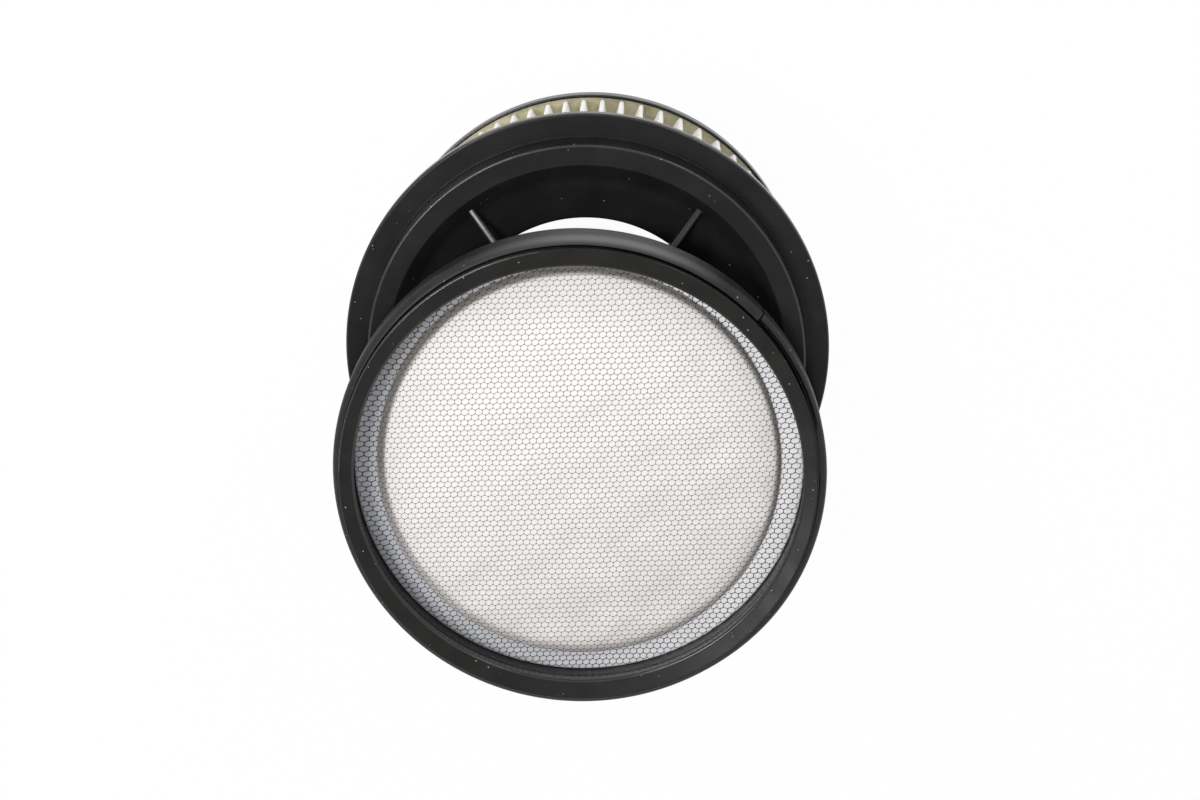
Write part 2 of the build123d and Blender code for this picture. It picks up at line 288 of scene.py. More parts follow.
# Potting glue: khaki resin, blotchy, with small craters of burst bubbles
def pottingResin():
    look = {"dark": (0.39, 0.352, 0.222, 1), "light": (0.60, 0.555, 0.38, 1), "blotch": 420.0,
            "blotchEnds": (0.3, 0.7), "bubble": 900.0, "bubbleEnds": (0.05, 0.3), "bump": 0.3, "depth": 0.0001}
    finish, tree, shader, place = startFinish("khaki_potting_resin", Roughness=0.55, Specular_IOR_Level=0.3)
    blotch = noiseAt(tree, place, look["blotch"], 4.0)
    tone = spread(tree, blotch, *look["blotchEnds"], 0, 1)
    tree.links.new(blendColour(tree, tone, look["dark"], look["light"]), shader.inputs["Base Color"])
    cells = addNode(tree, "ShaderNodeTexVoronoi", {"Vector": place, "Scale": look["bubble"]})
    crater = spread(tree, cells.outputs["Distance"], *look["bubbleEnds"], 0, 1)
    addBump(tree, shader, crater, look["bump"], look["depth"])
    return finish


filterPaper = pleatPaper()
potting = pottingResin()
print("plastic, rubber, paper and resin finishes made")

# Front frame: flange, lip, dished funnel and end channel turned in one outline, then five webs
frontFrame = {
    "segments": 320, "lipEdge": 39.97, "lipEdgeLow": 44.0, "flangeSide": 44.6, "flangeSideHigh": 39.45,
    "outline": [
        (45.0, 36.9, 0.5), (45.0, 39.5, 0.5), (40.7, 39.5, 0.2), (40.3, 44.4, 0.3), (36.6, 44.4, 0.35),
        (33.5, 40.8, 3.0), (25.5, 38.8, 0.5), (25.5, 37.2, 0.2), (31.0, 36.9, 0.0), (31.0, 34.7, 0.25),
        (32.1, 34.7, 0.2), (32.1, 36.9, 0.0), (40.75, 36.9, 0.0), (40.75, 34.7, 0.12), (41.35, 34.7, 0.2),
        (41.35, 36.9, 0.15),
    ],
}
# Each web's crest falls outwards in a shallow hollow, with a small rounded step where it runs into the lip
rib = {
    "count": 5, "firstAngle": 309.0, "turn": 71.6, "inner": 26.0, "outer": 37.4, "stations": 90,
    "crest": 44.3, "fall": 2.55, "hollow": 0.2, "noseRound": 0.6, "mouth": 35.4, "step": 0.28,
    "stepStart": 0.6, "stepFull": 0.15, "halfWidth": 0.6, "bend": 0.32, "flare": 0.25, "flareLength": 0.3,
    "footReach": (25.5, 33.5, 36.6), "footHeight": (37.9, 39.9, 41.4), "rubbed": 0.6,
}
reach = np.linspace(rib["inner"], rib["outer"], rib["stations"])
ribShare = (reach - rib["inner"]) / (rib["outer"] - rib["inner"])
nose = np.clip((rib["inner"] + rib["noseRound"] - reach) / rib["noseRound"], 0, 1)
ribCrest = rib["crest"] - rib["fall"] * ribShare - 4 * rib["hollow"] * ribShare * (1 - ribShare)
ribCrest += rib["step"] * easeBetween(reach, rib["mouth"] - rib["stepStart"], rib["mouth"] - rib["stepFull"])
ribCrest -= rib["noseRound"] * (1 - np.sqrt(1 - nose ** 2))
ribFoot = np.interp(reach, rib["footReach"], rib["footHeight"])
ribHalf = rib["halfWidth"] + rib["flare"] * np.exp(-np.abs(reach - rib["mouth"]) / rib["flareLength"])
ribs = [bladeOnSpoke(reach, ribFoot, ribCrest, ribHalf, rib["bend"], rib["firstAngle"] + rib["turn"] * k)
        for k in range(rib["count"])]
frameTurn = turnOutline(roundedOutline(frontFrame["outline"]), frontFrame["segments"])
frameShape = gather(frameTurn, *ribs)
framePiece = putPiece("front_frame_moulding", frameShape, framePlastic, ["front_frame"])
# Rubbed places: the outside of the flange, the upper outer edge of the lip and, less, the webs
framePoints = frameShape[0]
frameReach = np.hypot(framePoints[:, 0], framePoints[:, 1])
lipEdge = (frameReach > frontFrame["lipEdge"]) & (framePoints[:, 2] > frontFrame["lipEdgeLow"])
flangeSide = (frameReach > frontFrame["flangeSide"]) & (framePoints[:, 2] < frontFrame["flangeSideHigh"])
onRib = np.arange(len(framePoints)) >= len(frameTurn[0])
paintPoints(framePiece, "rubbed", np.maximum(lipEdge | flangeSide, rib["rubbed"] * onRib))

# Rear ring: channel with a well rounded foot, rubbed on the outside
rearRing = {
    "segments": 288, "outside": 41.0,
    "outline": [
        (41.35, 0.0, 0.9), (41.35, 3.6, 0.25), (40.75, 3.6, 0.12), (40.75, 1.2, 0.0), (32.1, 1.2, 0.0),
        (32.1, 3.6, 0.15), (31.0, 3.6, 0.2), (31.0, 0.0, 0.3),
    ],
}
rearTurn = turnOutline(roundedOutline(rearRing["outline"]), rearRing["segments"])
ringPiece = putPiece("rear_ring_moulding", rearTurn, framePlastic, ["rear_ring"])
paintPoints(ringPiece, "rubbed", np.hypot(rearTurn[0][:, 0], rearTurn[0][:, 1]) > rearRing["outside"])

# Glue beds: the rear one shows between the pleats and climbs a little at both channel walls
rearBed = {
    "segments": 288, "inner": 32.1, "outer": 40.75, "floor": 1.2, "level": 3.15, "climb": 0.25,
    "climbLength": 0.35, "stations": 24, "topEnds": (2.0, 3.0), "lump": 0.07, "lumpLength": 4.0, "seed": 11,
}
across = np.linspace(rearBed["inner"], rearBed["outer"], rearBed["stations"])
edge = np.minimum(across - rearBed["inner"], rearBed["outer"] - across)
bedHeight = rearBed["level"] + rearBed["climb"] * np.exp(-edge / rearBed["climbLength"])
bedTop = np.stack([across, bedHeight], 1)[::-1]
bedFloor = [[rearBed["inner"], rearBed["floor"]], [rearBed["outer"], rearBed["floor"]]]
bedPoints, bedFaces = turnOutline(np.concatenate([bedFloor, bedTop]), rearBed["segments"])
bedTopShare = easeBetween(bedPoints[:, 2], *rearBed["topEnds"])
bedLumps = ripple(bedPoints[:, 0], bedPoints[:, 1], rearBed["lumpLength"], rearBed["seed"])
bedPoints[:, 2] += rearBed["lump"] * bedTopShare * bedLumps
putPiece("rear_potting_bed", (bedPoints, bedFaces), potting, ["rear_potting"])
cadNodes["front_potting"].data.materials.clear()
cadNodes["front_potting"].data.materials.append(potting)
cadNodes["support_core"].data.materials.clear()
cadNodes["support_core"].data.materials.append(framePlastic)

# Pleats: a zigzag line whose sharp corners, well beyond the paper, are cut back to rounded folds, set out
# by half the paper's thickness to both sides and carried up from the rear bed to the front bed. Between
# the beds the paper bellies a little, by a product of sines round and up the ring.
pleats = {
    "count": 64, "tipRadius": 42.24, "valleyRadius": 31.31, "fold": 0.30, "foldSteps": 7, "foldHold": 2.2,
    "thickness": 0.34, "low": 3.0, "high": 35.2, "levels": 13,
    "tipAngle": 268.93, "swing": 2.0, "waves": 3, "peak": 227.73,
    "belly": 0.10, "bellyTurns": 37, "bellyPhase": 1.3, "bellyRises": 2.2, "bellyLift": 0.4,
}


# Tip k stands at an even share of the circle plus a slow sine wander
def pleatTurn(k):
    even = np.radians(pleats["tipAngle"]) + 2 * np.pi * k / pleats["count"]
    wander = np.sin(pleats["waves"] * (even - np.radians(pleats["peak"])))
    start = np.sin(pleats["waves"] * np.radians(pleats["tipAngle"] - pleats["peak"]))
    return even + np.radians(pleats["swing"]) * (wander - start)


tipTurn = pleatTurn(np.arange(pleats["count"]))
valleyTurn = (tipTurn + pleatTurn(np.arange(pleats["count"]) + 1)) / 2
tips = pleats["tipRadius"] * np.stack([np.cos(tipTurn), np.sin(tipTurn)], 1)
valleys = pleats["valleyRadius"] * np.stack([np.cos(valleyTurn), np.sin(valleyTurn)], 1)
zigzag = np.stack([tips, valleys], 1).reshape(-1, 2)
zigzag = np.column_stack([zigzag, np.full(len(zigzag), pleats["fold"])])
foldLine = roundedOutline(zigzag, steps=pleats["foldSteps"], hold=pleats["foldHold"])
alongLine = np.roll(foldLine, -1, 0) - np.roll(foldLine, 1, 0)
alongLine /= np.linalg.norm(alongLine, axis=1, keepdims=True)
outward = np.stack([alongLine[:, 1], -alongLine[:, 0]], 1)
rise = np.linspace(0, 1, pleats["levels"])
heights = pleats["low"] + (pleats["high"] - pleats["low"]) * rise
foldTurn = np.arctan2(foldLine[:, 1], foldLine[:, 0])
bellyRound = np.sin(pleats["bellyTurns"] * foldTurn + pleats["bellyPhase"])[None, :]
bellyUp = np.sin(pleats["bellyRises"] * np.pi * rise + pleats["bellyLift"])[:, None]
bellyWave = pleats["belly"] * (bellyRound * bellyUp) * np.sin(np.pi * rise)[:, None]


def paperWall(side):
    shift = (bellyWave + side * pleats["thickness"] / 2)[..., None]
    flat = foldLine[None] + outward[None] * shift
    tall = np.broadcast_to(heights[:, None, None], flat.shape[:2] + (1,))
    return np.concatenate([flat, tall], -1).reshape(-1, 3)


wallCount, lineCount = pleats["levels"] * len(foldLine), len(foldLine)
wallFaces = gridFaces(pleats["levels"], lineCount, wrapColumns=True)
here, following = np.arange(lineCount), (np.arange(lineCount) + 1) % lineCount
topRow = wallCount - lineCount
lowEdge = np.stack([here, here + wallCount, following + wallCount, following], 1)
highEdge = np.stack([here, following, following + wallCount, here + wallCount], 1) + topRow
pleatShape = (np.concatenate([paperWall(1), paperWall(-1)]),
              [wallFaces[:, ::-1], wallFaces + wallCount, lowEdge, highEdge])
putPiece("paper_pleats", pleatShape, filterPaper, ["pleated_media"], crisp=50)

# Cap ring: wall, flat face with an undercut rim, shelf, and spokes with a hub under the pad
cap = {
    "centre": (0.55, 19.85), "segments": 320, "shelfRadius": 36.6, "foot": 44.4, "shelfTop": 46.3,
    "outline": [
        (36.6, 44.4, 0.2), (42.4, 44.4, 0.3), (42.4, 47.0, 0.0), (43.9, 47.0, 0.15), (43.9, 47.4, 0.0),
        (43.0, 47.4, 0.0), (43.0, 53.5, 0.0), (43.4, 53.5, 0.0), (43.4, 54.3, 0.1), (43.9, 54.3, 0.1),
        (43.9, 55.2, 0.3), (40.5, 55.2, 0.4), (41.2, 50.2, 1.0), (41.2, 46.3, 0.0), (36.6, 46.3, 0.2),
    ],
    "wider": 0.012, "shorter": 0.007, "inwards": 0.3, "hollow": 0.4, "boreRadius": 41.0,
    "boreEnds": (39.0, 40.4, 41.4, 43.2), "mouthEnds": (49.5, 54.5), "hollowEnds": (52.0, 54.6),
    "faceLow": 54.7, "innerEdge": 40.6, "innerEdgeHalf": 0.25, "outerEdge": 43.6, "grippedFrom": 8.0,
    "footEnds": (48.5, 53.0), "footReflection": 0.22, "footTurn": 0.6, "footLeast": 0.2, "footMost": 0.7,
    "spokes": 5, "spokeHalf": 0.9, "spokeStart": 7.0, "spokeOverlap": 0.5, "spokeStations": 12,
    "spokeBend": 0.2, "firstSpoke": 90, "hubSegments": 96,
    "hub": [(8.0, 44.4, 0.2), (8.0, 46.3, 0.2), (6.2, 46.3, 0.2), (6.2, 44.4, 0.2)],
}
spokeReach = np.linspace(cap["spokeStart"], cap["shelfRadius"] + cap["spokeOverlap"], cap["spokeStations"])
spokeSame = np.ones_like(spokeReach)
spokes = [bladeOnSpoke(spokeReach, cap["foot"] * spokeSame, cap["shelfTop"] * spokeSame,
                       cap["spokeHalf"] * spokeSame, cap["spokeBend"],
                       cap["firstSpoke"] + 360 / cap["spokes"] * k, cap["centre"])
          for k in range(cap["spokes"])]
capTurn = turnOutline(roundedOutline(cap["outline"]), cap["segments"], cap["centre"])


# The moulding's bore is not quite round: a little wider than long, its mouth set in on one side, and
# its wall hollowed below the mouth on another. What lies in the bore is widened with it near its edge.
def widened(x, y, low, high):
    share = easeBetween(np.hypot(x, y), low, high)
    return x + (cap["wider"] * x + cap["hollow"] * np.maximum(x / cap["boreRadius"], 0)) * share


ringPoints = capTurn[0]
ringX, ringY = (ringPoints[:, :2] - cap["centre"]).T
ringReach = np.hypot(ringX, ringY)
ringTurn = ringX / cap["boreRadius"]
atBore = easeBand(ringReach, *cap["boreEnds"])
atMouth = atBore * easeBetween(ringPoints[:, 2], *cap["mouthEnds"])
belowMouth = atBore * (1 - easeBetween(ringPoints[:, 2], *cap["hollowEnds"]))
ringPoints[:, 0] += cap["wider"] * ringX * atBore + cap["hollow"] * np.maximum(ringTurn, 0) * belowMouth
ringPoints[:, 1] -= (cap["shorter"] * ringY + cap["inwards"]) * atMouth
hubTurn = turnOutline(roundedOutline(cap["hub"]), cap["hubSegments"], cap["centre"])
capPiece = putPiece("cap_ring", gather(capTurn, hubTurn, *spokes), capPlastic, ["cap_frame"])
# Rubbed places: the inner edge of the face, and its outer edge on the side where it was gripped
unturned = len(hubTurn[0]) + sum(len(points) for points, _ in spokes)
onInnerEdge = np.abs(ringReach - cap["innerEdge"]) < cap["innerEdgeHalf"]
onOuterEdge = (ringReach > cap["outerEdge"]) & (ringX > cap["grippedFrom"]) & (ringY < 0)
faceEdge = (onInnerEdge | onOuterEdge) & (ringPoints[:, 2] > cap["faceLow"])
paintPoints(capPiece, "rubbed", np.concatenate([faceEdge, np.zeros(unturned, bool)]))
# Painted reflection: the foot of the bore's wall is made paler, more towards -X, standing for the white pad
# reflected in it
footReflection = cap["footReflection"] - cap["footTurn"] * ringX / cap["boreRadius"]
footReflection = np.clip(footReflection, cap["footLeast"], cap["footMost"])
wallReflection = atBore * (1 - easeBetween(ringPoints[:, 2], *cap["footEnds"])) * footReflection
paintPoints(capPiece, "painted_reflection", np.concatenate([wallReflection, np.zeros(unturned)]))

# Seal strip: one outline carried round the cap, its two ends butted at a narrow nick. On one side of
# the nick the inner shoulder sags away from the face, for as far as the strip was pulled. Where the strip
# is stretched, at the left and right, it stands out less from its seat, by the square of the cosine, and
# at the right it rides up against the underside of the face.
sealStrip = {
    "segments": 320, "jointAngle": 225.0, "jointGap": 0.35, "radius": 45.75,
    "sag": 1.3, "sagEnds": (190.0, 204.0), "sagReach": (44.3, 44.95), "sagHeights": (52.6, 53.0),
    "seat": 43.9, "pullLeft": 0.24, "pullRight": 0.14, "ride": 0.75, "rideEnds": (120.0, 150.0, 184.0, 200.0),
    "outline": [
        (43.0, 47.4, 0.0), (45.75, 47.4, 0.4), (45.75, 53.5, 1.7), (43.95, 53.5, 0.1), (43.9, 53.0, 0.0),
        (43.0, 53.0, 0.0),
    ],
}
nickTurn = math.degrees(sealStrip["jointGap"] / sealStrip["radius"])
sealTurn = turnOutline(roundedOutline(sealStrip["outline"], steps=9), sealStrip["segments"], cap["centre"],
                       sealStrip["jointAngle"] + nickTurn / 2, 360 - nickTurn)
sealPoints, sealFaces = sealTurn
sealX, sealY = sealPoints[:, 0] - cap["centre"][0], sealPoints[:, 1] - cap["centre"][1]
sealAngle = np.degrees(np.arctan2(sealY, sealX)) % 360
besideNick = easeBetween(sealAngle, *sealStrip["sagEnds"]) * (sealAngle < sealStrip["jointAngle"])
innerShoulder = 1 - easeBetween(np.hypot(sealX, sealY), *sealStrip["sagReach"])
innerShoulder *= easeBetween(sealPoints[:, 2], *sealStrip["sagHeights"])
sealPoints[:, 2] -= sealStrip["sag"] * besideNick * innerShoulder
ridesUp = easeBand(sealAngle, *sealStrip["rideEnds"])
sealPoints[:, 2] += sealStrip["ride"] * ridesUp * easeBetween(sealPoints[:, 2], 49.0, 53.0)
sidePull = np.where(sealX > 0, sealStrip["pullLeft"], sealStrip["pullRight"])
sideShare = np.cos(np.radians(sealAngle)) ** 2 * sidePull
sealReach = np.hypot(sealX, sealY)
pulledIn = sideShare * np.maximum(sealReach - sealStrip["seat"], 0) / sealReach
sealPoints[:, 0] -= sealX * pulledIn
sealPoints[:, 1] -= sealY * pulledIn
sealPiece = putPiece("cap_seal_strip", (sealPoints, sealFaces), sealRubber, ["cap_seal"])
# Painted sheen: paler on the -Y side, where the rubber catches the light, most on its outer half
sheenSide = easeBand(sealAngle, 234, 258, 268, 300)
paintPoints(sealPiece, "painted_reflection", sheenSide * (0.12 + 0.88 * easeBetween(sealReach, 44.2, 45.3)))

# Cotton pad: height over radius is a pressed flat rim, a quarter-ellipse shoulder that meets it in a
# crease, and a slightly crowned middle, plus a lumpy wander of the wadding; the edge and the flat
# underside close it. The puffed part lies a little off the middle and is a little longer than wide.
pad = {
    "radius": 41.05, "bottom": 46.3, "rimTop": 47.75, "shoulderIn": 33.2, "shoulderOut": 37.5, "rise": 1.4,
    "crown": 0.12, "lump": 0.09, "lumpLength": 9.0, "segments": 300, "shift": (0.15, -0.7), "longer": 1.016,
}


def puffShare(radius):
    t = np.clip((radius - pad["shoulderIn"]) / (pad["shoulderOut"] - pad["shoulderIn"]), 0, 1)
    return np.sqrt(1 - t * t)


def crownReach(x, y):
    return np.hypot(x - pad["shift"][0], (y - pad["shift"][1]) / pad["longer"])


def padHeight(x, y):
    radius = crownReach(x, y)
    puffed = puffShare(radius)
    lumps = pad["lump"] * ripple(x, y, pad["lumpLength"], 5) + 0.35 * pad["lump"] * ripple(x, y, 3.2, 6)
    crown = pad["crown"] * (1 - (radius / pad["shoulderIn"]) ** 2).clip(0)
    return pad["rimTop"] + puffed * (pad["rise"] + crown + lumps) + 0.3 * (1 - puffed) * lumps


bendAngle = np.linspace(np.pi / 2, 0, 24)
bendRadius = pad["shoulderIn"] + (pad["shoulderOut"] - pad["shoulderIn"]) * np.sin(bendAngle)
topRadius = np.concatenate([np.linspace(40.8, 37.6, 10), bendRadius, np.linspace(32.7, 0.5, 64)])
padAngle = np.radians(360 * np.arange(pad["segments"]) / pad["segments"])[:, None]
withCrown = np.clip((topRadius[0] - topRadius) / (topRadius[0] - pad["shoulderOut"]), 0, 1)
topX = topRadius * np.cos(padAngle) + pad["shift"][0] * withCrown
topY = topRadius * np.sin(padAngle) * (1 + (pad["longer"] - 1) * withCrown) + pad["shift"][1] * withCrown
skirtRadius = np.array([1.0, 12.0, 24.0, 34.0, 40.8, 41.05, 41.05])
skirtHeight = np.array([46.3, 46.3, 46.3, 46.3, 46.3, 46.5, 47.5])
skirtX, skirtY = skirtRadius * np.cos(padAngle), skirtRadius * np.sin(padAngle)
skirt = np.stack(np.broadcast_arrays(skirtX, skirtY, skirtHeight[None, :]), -1)
padGrid = np.concatenate([skirt, np.stack([topX, topY, padHeight(topX, topY)], -1)], 1)
padColumns = padGrid.shape[1]
poleX, poleY = pad["shift"]
poleHeight = float(padHeight(np.array([poleX]), np.array([poleY]))[0])
padPoints = np.concatenate([padGrid.reshape(-1, 3), [[0, 0, pad["bottom"]], [poleX, poleY, poleHeight]]])
ringStart = np.arange(pad["segments"]) * padColumns
ringNext = np.roll(ringStart, -1)
lowPole = np.full(pad["segments"], len(padPoints) - 2)
padFans = [np.stack([lowPole, ringNext, ringStart], 1),
           np.stack([lowPole + 1, ringStart + padColumns - 1, ringNext + padColumns - 1], 1)]
padX, padY = padPoints[:, 0].copy(), padPoints[:, 1].copy()
padFromCrown = crownReach(padX, padY)
padPoints[:, 0] = widened(padX, padY, 38.5, 41.0)
padPoints[:, :2] += cap["centre"]


# Cotton wadding: warm white in the puffed middle and greyer towards +Y and -X, cooler where the rim is
# pressed, with painted shadow darkening the rim towards +X, and painted shade, near black, in a band along the
# shoulder's crease
def cottonWadding():
    look = {"middle": (0.91, 0.885, 0.872, 1), "greyerSide": (0.69, 0.665, 0.652, 1),
            "rim": (0.86, 0.852, 0.868, 1), "shadowedRim": (0.53, 0.54, 0.565, 1),
            "shoulder": (0.16, 0.148, 0.134, 1), "stain": (0.86, 0.83, 0.79, 1),
            "cloud": 130.0, "fibre": 2100.0}
    finish, tree, shader, place = startFinish("cotton_wadding", Roughness=0.95, Specular_IOR_Level=0.1)
    pressed = addNode(tree, "ShaderNodeAttribute", attribute_name="pressed").outputs["Fac"]
    shoulder = addNode(tree, "ShaderNodeAttribute", attribute_name="shoulder").outputs["Fac"]
    greyerSide = addNode(tree, "ShaderNodeAttribute", attribute_name="greyerSide").outputs["Fac"]
    rimShadow = addNode(tree, "ShaderNodeAttribute", attribute_name="rimShadow").outputs["Fac"]
    cloud = spread(tree, noiseAt(tree, place, look["cloud"], 3.0), 0.45, 0.8, 0, 0.5)
    middle = blendColour(tree, greyerSide, look["middle"], look["greyerSide"])
    puffed = blendColour(tree, cloud, middle, look["stain"])
    withRim = blendColour(tree, pressed, puffed, blendColour(tree, rimShadow, look["rim"], look["shadowedRim"]))
    tree.links.new(blendColour(tree, shoulder, withRim, look["shoulder"]), shader.inputs["Base Color"])
    addBump(tree, shader, noiseAt(tree, place, look["fibre"], 6.0, 0.7), 0.4, 0.00012)
    return finish


cotton = cottonWadding()
padShape = (padPoints, [gridFaces(pad["segments"], padColumns, wrapRows=True)] + padFans)
padPiece = putPiece("cap_cotton", padShape, cotton, ["cap_pad"], crisp=70)
paintPoints(padPiece, "pressed", easeBetween(padFromCrown, 37.3, 37.6))
# Painted shade: a near-black band just inside the crease, wider towards +X, softer and lighter towards +Y
leftShare = padX / pad["shoulderOut"]
lowShare = np.maximum(padY / pad["shoulderOut"], 0)
shaded = easeBetween((padFromCrown - 35.8 + 0.3 * leftShare + 0.9 * lowShare) / (0.9 + lowShare), 0, 1)
shaded = shaded * (1 - easeBetween(padFromCrown, 37.25, 37.65))
shaded = shaded * (0.92 - 0.5 * lowShare - 0.3 * lowShare * np.maximum(leftShare, 0))
paintPoints(padPiece, "shoulder", np.clip(shaded, 0, 1))
# Greyer towards +Y and -X, by a straight gradient across the pad
paintPoints(padPiece, "greyerSide", np.clip(0.5 + (1.1 * padY - 0.5 * padX) / 72, 0, 1))
# Painted shadow: the pressed rim is darker towards +X, where the cap's wall shades it
paintPoints(padPiece, "rimShadow", easeBetween(0.9 * padX + 0.3 * padY, -25, 35))

# Netting: six-sided cells on a slanted lattice. Each cell has a twelve-sided opening, longer along one
# slant than across it, so that one run of thread is heavier; neighbouring cells share the crest line of
# the thread between them. The flat net is laid over the pad by arc
# length: distance from the middle, measured along the pad's height line, becomes radius and height.
net = {
    "acrossStep": (1.279, 0.094), "upStep": (0.676, 1.054), "edge": 40.95, "slant": 42.0,
    "longMiddle": 0.97, "shortMiddle": 0.90, "longRim": 0.90, "shortRim": 0.84,
    "chamfer": 0.22, "crest": 0.12, "sink": 0.06, "warp": 0.06, "warpLength": 14.0,
}
lineRadius = np.linspace(0, 42, 2101)
lineHeight = puffShare(lineRadius) * pad["rise"]
arcLength = np.concatenate([[0], np.cumsum(np.hypot(np.diff(lineRadius), np.diff(lineHeight)))])
flatEdge = np.interp(net["edge"], lineRadius, arcLength)
stepA, stepB = np.array(net["acrossStep"]), np.array(net["upStep"])
span = 56
m, n = np.meshgrid(np.arange(-span, span + 1), np.arange(-span, span + 1), indexing="ij")
middles = m[..., None] * stepA + n[..., None] * stepB
inside = np.linalg.norm(middles, axis=-1) < flatEdge - 0.12
cellM, cellN = m[inside], n[inside]
size = 2 * span + 1


# Corner number: each lattice place owns two corners, one a third of the way to both next places
# (kind 0), one a third of the way to the upper two (kind 1)
def cornerId(atM, atN, kind):
    return ((atM + span) * size + atN + span) * 2 + kind


cornerIds = np.stack([
    cornerId(cellM, cellN, 0), cornerId(cellM, cellN, 1), cornerId(cellM - 1, cellN, 0),
    cornerId(cellM, cellN - 1, 1), cornerId(cellM, cellN - 1, 0), cornerId(cellM + 1, cellN - 1, 1),
], 1)
usedIds, cornerIndex = np.unique(cornerIds, return_inverse=True)
cornerIndex = cornerIndex.reshape(cornerIds.shape)
place = usedIds // 2
ownM, ownN, ownKind = place // size - span, place % size - span, usedIds % 2
toCorner = np.where(ownKind[:, None] == 0, (stepA + stepB) / 3, (2 * stepB - stepA) / 3)
cornerFlat = ownM[:, None] * stepA + ownN[:, None] * stepB + toCorner
cellFlat = cellM[:, None] * stepA + cellN[:, None] * stepB


def clampToEdge(flat):
    reachNow = np.linalg.norm(flat, axis=-1, keepdims=True)
    return flat * np.minimum(1, flatEdge / np.maximum(reachNow, 1e-9))


cornerFlat = clampToEdge(cornerFlat)
cellCorners = cornerFlat[cornerIndex]
cellCentre = cellCorners.mean(1)
rimShare = easeBetween(crownReach(cellCentre[:, 0], cellCentre[:, 1]), 36.8, 38.6)[:, None, None]
longShare = net["longMiddle"] + (net["longRim"] - net["longMiddle"]) * rimShare
shortShare = net["shortMiddle"] + (net["shortRim"] - net["shortMiddle"]) * rimShare
slantWay = np.array([math.cos(math.radians(net["slant"])), math.sin(math.radians(net["slant"]))])
fromMiddle = cellCorners - cellCentre[:, None]
alongSlant = (fromMiddle @ slantWay)[..., None] * slantWay
opening = cellCentre[:, None] + alongSlant * longShare + (fromMiddle - alongSlant) * shortShare
earlier = opening + net["chamfer"] * (np.roll(opening, 1, 1) - opening)
later = opening + net["chamfer"] * (np.roll(opening, -1, 1) - opening)
openingFlat = np.stack([earlier, later], 2).reshape(len(cellFlat), 12, 2)


def layOverPad(flat, lift):
    warpX = net["warp"] * ripple(flat[..., 0], flat[..., 1], net["warpLength"], 21)
    warpY = net["warp"] * ripple(flat[..., 0], flat[..., 1], net["warpLength"], 22)
    inner = 1 - easeBetween(np.linalg.norm(flat, axis=-1), 37.5, 40.5)
    moved = flat + np.stack([warpX * inner, warpY * inner], -1)
    reachNow = np.linalg.norm(moved, axis=-1)
    radius = np.interp(reachNow, arcLength, lineRadius)
    scale = (radius / np.maximum(reachNow, 1e-9))[..., None]
    ground = moved * scale
    height = padHeight(ground[..., 0], ground[..., 1]) + lift
    wide = widened(ground[..., 0], ground[..., 1], 38.5, 41.0)
    return np.stack([wide + cap["centre"][0], ground[..., 1] + cap["centre"][1], height], -1)


crestPoints = layOverPad(cornerFlat, net["crest"])
underPoints = layOverPad(cornerFlat, -net["sink"])
openPoints = layOverPad(openingFlat, -0.5 * net["sink"]).reshape(-1, 3)
cornerCount, cellCount = len(usedIds), len(cellFlat)
openBase = 2 * cornerCount
loop = openBase + np.arange(cellCount)[:, None, None] * 12 + np.arange(12).reshape(1, 6, 2)
loopBefore, loopAfter = loop[..., 0], loop[..., 1]
nextCorner, nextBefore = np.roll(cornerIndex, -1, 1), np.roll(loopBefore, -1, 1)
topTriangles = np.stack([cornerIndex, loopAfter, loopBefore], -1).reshape(-1, 3)
topQuads = np.stack([cornerIndex, nextCorner, nextBefore, loopAfter], -1).reshape(-1, 4)
underShift = np.array([cornerCount, 0, 0])
underTriangles = (topTriangles + underShift)[:, ::-1]
underQuads = (topQuads + np.array([cornerCount, cornerCount, 0, 0]))[:, ::-1]
sides = np.stack([cornerIndex, nextCorner], -1).reshape(-1, 2)
_, sideFirst, sideUses = np.unique(np.sort(sides, 1) @ np.array([cornerCount, 1]),
                                         return_index=True, return_counts=True)
rimSides = sides[sideFirst[sideUses == 1]]
rimStart, rimEnd = rimSides.T
rimQuads = np.stack([rimStart + cornerCount, rimEnd + cornerCount, rimEnd, rimStart], 1)
netPoints = np.concatenate([crestPoints, underPoints, openPoints])


# Net thread: dark grey yarn, with painted light: paler in the middle, standing for the bright wadding shining
# through it
def netYarn():
    look = {"rim": (0.045, 0.046, 0.052, 1), "middle": (0.15, 0.147, 0.142, 1), "fleck": 1700.0}
    finish, tree, shader, place = startFinish("grey_net_yarn", Roughness=0.7, Specular_IOR_Level=0.25)
    toRim = addNode(tree, "ShaderNodeAttribute", attribute_name="towardsRim").outputs["Fac"]
    fleck = spread(tree, noiseAt(tree, place, look["fleck"], 3.0), 0.35, 0.7, 0, 0.35)
    yarn = blendColour(tree, toRim, look["middle"], look["rim"])
    tree.links.new(blendColour(tree, fleck, yarn, (0.16, 0.155, 0.15, 1)), shader.inputs["Base Color"])
    addBump(tree, shader, noiseAt(tree, place, 6000.0, 3.0), 0.3, 0.00004)
    return finish


netThread = netYarn()
netPiece = putPiece("cap_netting", (netPoints, [topTriangles, topQuads, underTriangles, underQuads, rimQuads]),
                    netThread, ["cap_net"], crisp=80)
netFromCrown = crownReach(netPoints[:, 0] - cap["centre"][0], netPoints[:, 1] - cap["centre"][1])
# Painted light on the yarn: pale inside this radius, darker towards the rim
paintPoints(netPiece, "towardsRim", easeBetween(netFromCrown, 34.6, 36.6))

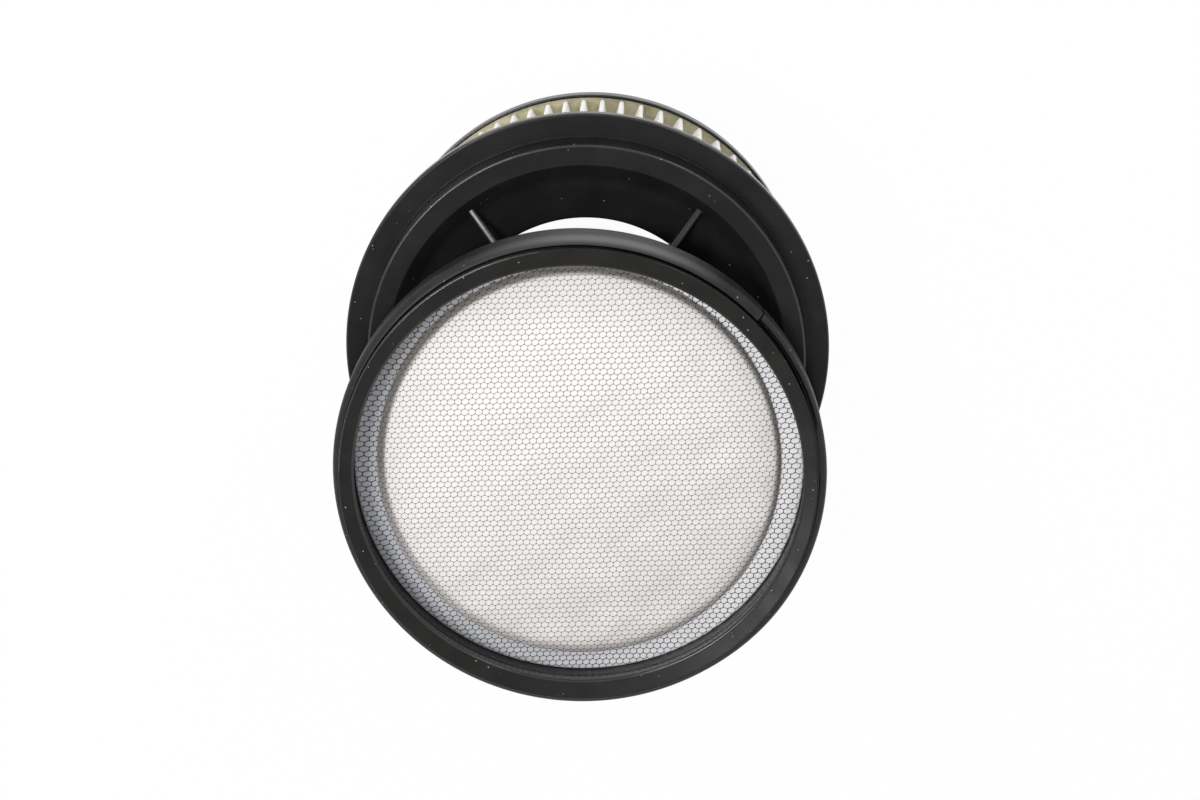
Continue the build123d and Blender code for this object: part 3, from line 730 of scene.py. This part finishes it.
# Camera: the photo's place, tilt, pan and roll; white floor and surroundings, soft lamps round the object
view = {"eye": (-9.289, -129.166, 447.689), "tilt": 18.737, "pan": 0.8735, "roll": 2.140, "lens": 69.0}
tilt, pan, roll = math.radians(view["tilt"]), math.radians(view["pan"]), math.radians(view["roll"])
plumb, aside = np.array([0, -math.sin(tilt), math.cos(tilt)]), np.array([-1.0, 0, 0])
upright = np.array([0, -math.cos(tilt), -math.sin(tilt)])
back, level = math.cos(pan) * plumb + math.sin(pan) * aside, math.cos(pan) * aside - math.sin(pan) * plumb
across = math.cos(roll) * level + math.sin(roll) * upright
upward = math.cos(roll) * upright - math.sin(roll) * level
pose = np.eye(4)
pose[:3, :3] = np.stack([across, upward, back], 1)
pose[:3, 3] = np.array(view["eye"]) * mm
cameraData = bpy.data.cameras.new("photo_camera")
cameraData.lens, cameraData.sensor_width, cameraData.sensor_fit = view["lens"], 36.0, "HORIZONTAL"
camera = bpy.data.objects.new("photo_camera", cameraData)
camera.matrix_world = Matrix(pose.tolist())
bpy.context.scene.collection.objects.link(camera)
bpy.context.scene.camera = camera

studio = {
    "sky": 0.55, "floorTone": (0.88, 0.88, 0.88, 1), "floorGlow": 0.97, "floorHalf": 2.0,
    "aim": (0.0, 0.01, 0.045), "key": ((0.30, -0.09, 0.80), 0.24, 3.3),
    "fillLeft": ((0.46, -0.66, 0.38), 0.20, 1.4),
    "fillRight": ((-0.40, -0.70, 0.40), 0.20, 1.3), "side": ((-0.116, 0.42, 0.87), 0.13, 0.48),
    "keyRight": ((-0.27, -0.12, 0.93), 0.12, 0.16),
}


def seenDirectly(tree):
    path = addNode(tree, "ShaderNodeLightPath").outputs
    both = product(tree, path["Is Camera Ray"], path["Is Glossy Ray"], "ADD")
    return product(tree, both, path["Is Transmission Ray"], "ADD")


world = bpy.data.worlds.new("white_studio")
world.use_nodes = True
bpy.context.scene.world = world
sky = world.node_tree.nodes["Background"]
sky.inputs["Color"].default_value = (1, 1, 1, 1)
skyStrength = spread(world.node_tree, seenDirectly(world.node_tree), 0, 1, studio["sky"], 1.0)
world.node_tree.links.new(skyStrength, sky.inputs["Strength"])

half = studio["floorHalf"]
floorMesh = bpy.data.meshes.new("studio_floor")
floorCorners = [(-half, -half, 0), (half, -half, 0), (half, half, 0), (-half, half, 0)]
floorMesh.from_pydata(floorCorners, [], [(0, 1, 2, 3)])
floor = bpy.data.objects.new("studio_floor", floorMesh)
bpy.context.scene.collection.objects.link(floor)
floorFinish, tree, shader, _ = startFinish("white_paper_floor", Base_Color=studio["floorTone"], Roughness=0.9,
                                           Specular_IOR_Level=0.0)
glow = addNode(tree, "ShaderNodeEmission", {"Strength": 1.0})
share = product(tree, seenDirectly(tree), studio["floorGlow"])
mixed = addNode(tree, "ShaderNodeMixShader", {0: share, 1: shader.outputs[0], 2: glow.outputs[0]})
tree.links.new(mixed.outputs[0], tree.nodes["Material Output"].inputs["Surface"])
floorMesh.materials.append(floorFinish)


# A round lamp at a place, turned so that its face looks at the aim
def softLamp(name, place, size, power):
    data = bpy.data.lights.new(name, "AREA")
    data.shape, data.size, data.energy = "DISK", size, power
    away = np.array(place) - np.array(studio["aim"])
    away /= np.linalg.norm(away)
    sideways = np.cross([0, 0.6, 0.8], away)
    sideways /= np.linalg.norm(sideways)
    lampPose = np.eye(4)
    lampPose[:3, :3] = np.stack([sideways, np.cross(away, sideways), away], 1)
    lampPose[:3, 3] = place
    lamp = bpy.data.objects.new(name, data)
    lamp.matrix_world = Matrix(lampPose.tolist())
    bpy.context.scene.collection.objects.link(lamp)


softLamp("key_from_left", *studio["key"])
softLamp("fill_behind_left", *studio["fillLeft"])
softLamp("fill_behind_right", *studio["fillRight"])
softLamp("side_from_right", *studio["side"])
softLamp("key_from_right", *studio["keyRight"])
bpy.context.scene.view_settings.view_transform = "Standard"
print("camera, floor and light set")
